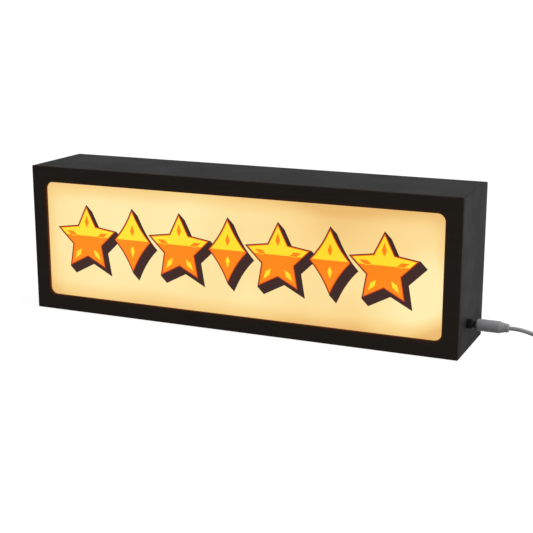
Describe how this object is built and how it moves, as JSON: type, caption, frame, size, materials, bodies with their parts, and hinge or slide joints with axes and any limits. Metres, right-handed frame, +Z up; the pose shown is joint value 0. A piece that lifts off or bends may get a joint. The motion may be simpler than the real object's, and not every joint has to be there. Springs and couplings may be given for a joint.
{
  "type": "light box",
  "caption": "Shallow rectangular light box with a lit printed face behind a thin black frame, a side jack with its lead and a rocker switch on the back.",
  "frame": {"origin": "middle of the underside that the box rests on", "axes": "+X to the right seen from the front, along the length; +Y from the lit face to the back; +Z up"},
  "size_m": [0.577, 0.089, 0.15],
  "materials": {
    "black_paint": "satin black paint on fibreboard, with a faint grain",
    "batten_white": "white painted batten, matt",
    "block_wood": "bare pine, sawn",
    "lit_film": "printed translucent film, lit from behind",
    "opal_sheet": "opal acrylic, matt",
    "strip_board": "white board, matt",
    "strip_tape": "white flexible circuit tape",
    "led_phosphor": "yellow phosphor lens",
    "resistor_black": "moulded black",
    "wire_red": "insulated wire",
    "wire_black": "insulated wire",
    "back_hardboard": "black hardboard, matt",
    "zinc_steel": "zinc plated steel",
    "black_plastic": "moulded black plastic",
    "rocker_black": "polished black plastic",
    "white_plastic": "moulded white plastic, satin",
    "contact_metal": "nickel plated",
    "spring_steel": "bright spring wire",
    "contact_brass": "bright brass",
    "cord_white": "white flexible sheath, satin",
    "tie_black": "black hook and loop strap"
  },
  "bodies": {
    "cabinet": {"front_frame": "black_paint", "top_board": "black_paint", "bottom_board": "black_paint", "left_board": "black_paint", "right_board": "black_paint", "spacer_top": "batten_white", "spacer_bottom": "batten_white", "spacer_left": "batten_white", "spacer_right": "batten_white", "corner_block_upper_left": "block_wood", "corner_block_upper_right": "block_wood", "corner_block_lower_left": "block_wood", "corner_block_lower_right": "block_wood", "centre_blocks": "block_wood", "printed_film": "lit_film", "diffuser_sheet": "opal_sheet", "led_board": "strip_board", "led_strip_upper": "strip_tape", "led_strip_lower": "strip_tape", "led_packages_upper": "led_phosphor", "led_packages_lower": "led_phosphor", "strip_resistors": "resistor_black", "strip_link_wires": "wire_red", "back_panel": "back_hardboard", "back_panel_screws": "zinc_steel", "keyhole_plate_left": "zinc_steel", "keyhole_plate_right": "zinc_steel", "keyhole_rivets": "zinc_steel", "jack_housing": "black_plastic", "jack_ring_nut": "black_plastic", "jack_centre_pin": "contact_metal", "jack_contact_leaf": "contact_metal", "jack_terminals": "contact_metal", "switch_housing": "black_plastic", "switch_terminals": "contact_brass", "wire_jack_to_switch": "wire_red", "wire_switch_to_strip": "wire_red", "wire_jack_to_strip": "wire_black"},
    "rocker": {"switch_rocker": "rocker_black", "switch_plunger": "white_plastic", "switch_spring": "spring_steel"},
    "contact_lever": {"switch_contact_lever": "contact_brass"},
    "lead": {"plug_barrel": "contact_metal", "plug_insulator": "black_plastic", "plug_grip": "white_plastic", "plug_boot": "white_plastic", "cord_run": "cord_white", "cord_coil": "cord_white", "cord_tail": "cord_white", "cord_tie": "tie_black", "usb_boot": "white_plastic", "usb_grip": "white_plastic", "usb_shell": "contact_metal", "usb_tongue": "black_plastic", "usb_contacts": "contact_brass"}
  },
  "joints": [
    {"name": "rocker_tilt", "type": "hinge", "parent": "cabinet", "child": "rocker", "pos_m": [0.165, 0.039, 0.045], "axis": [0, 0, 1], "range_deg": [0, 20]},
    {"name": "lever_tilt", "type": "hinge", "parent": "cabinet", "child": "contact_lever", "pos_m": [0.165, 0.03135, 0.045], "axis": [0, 0, 1], "range_deg": [-12, 0]},
    {"name": "plug_pull", "type": "slide", "parent": "cabinet", "child": "lead", "axis": [1, 0, 0], "range_m": [0, 0.015]}
  ],
  "couplings": [
    {"joint": "lever_tilt", "follows": "rocker_tilt", "ratio": -0.6}
  ]
}
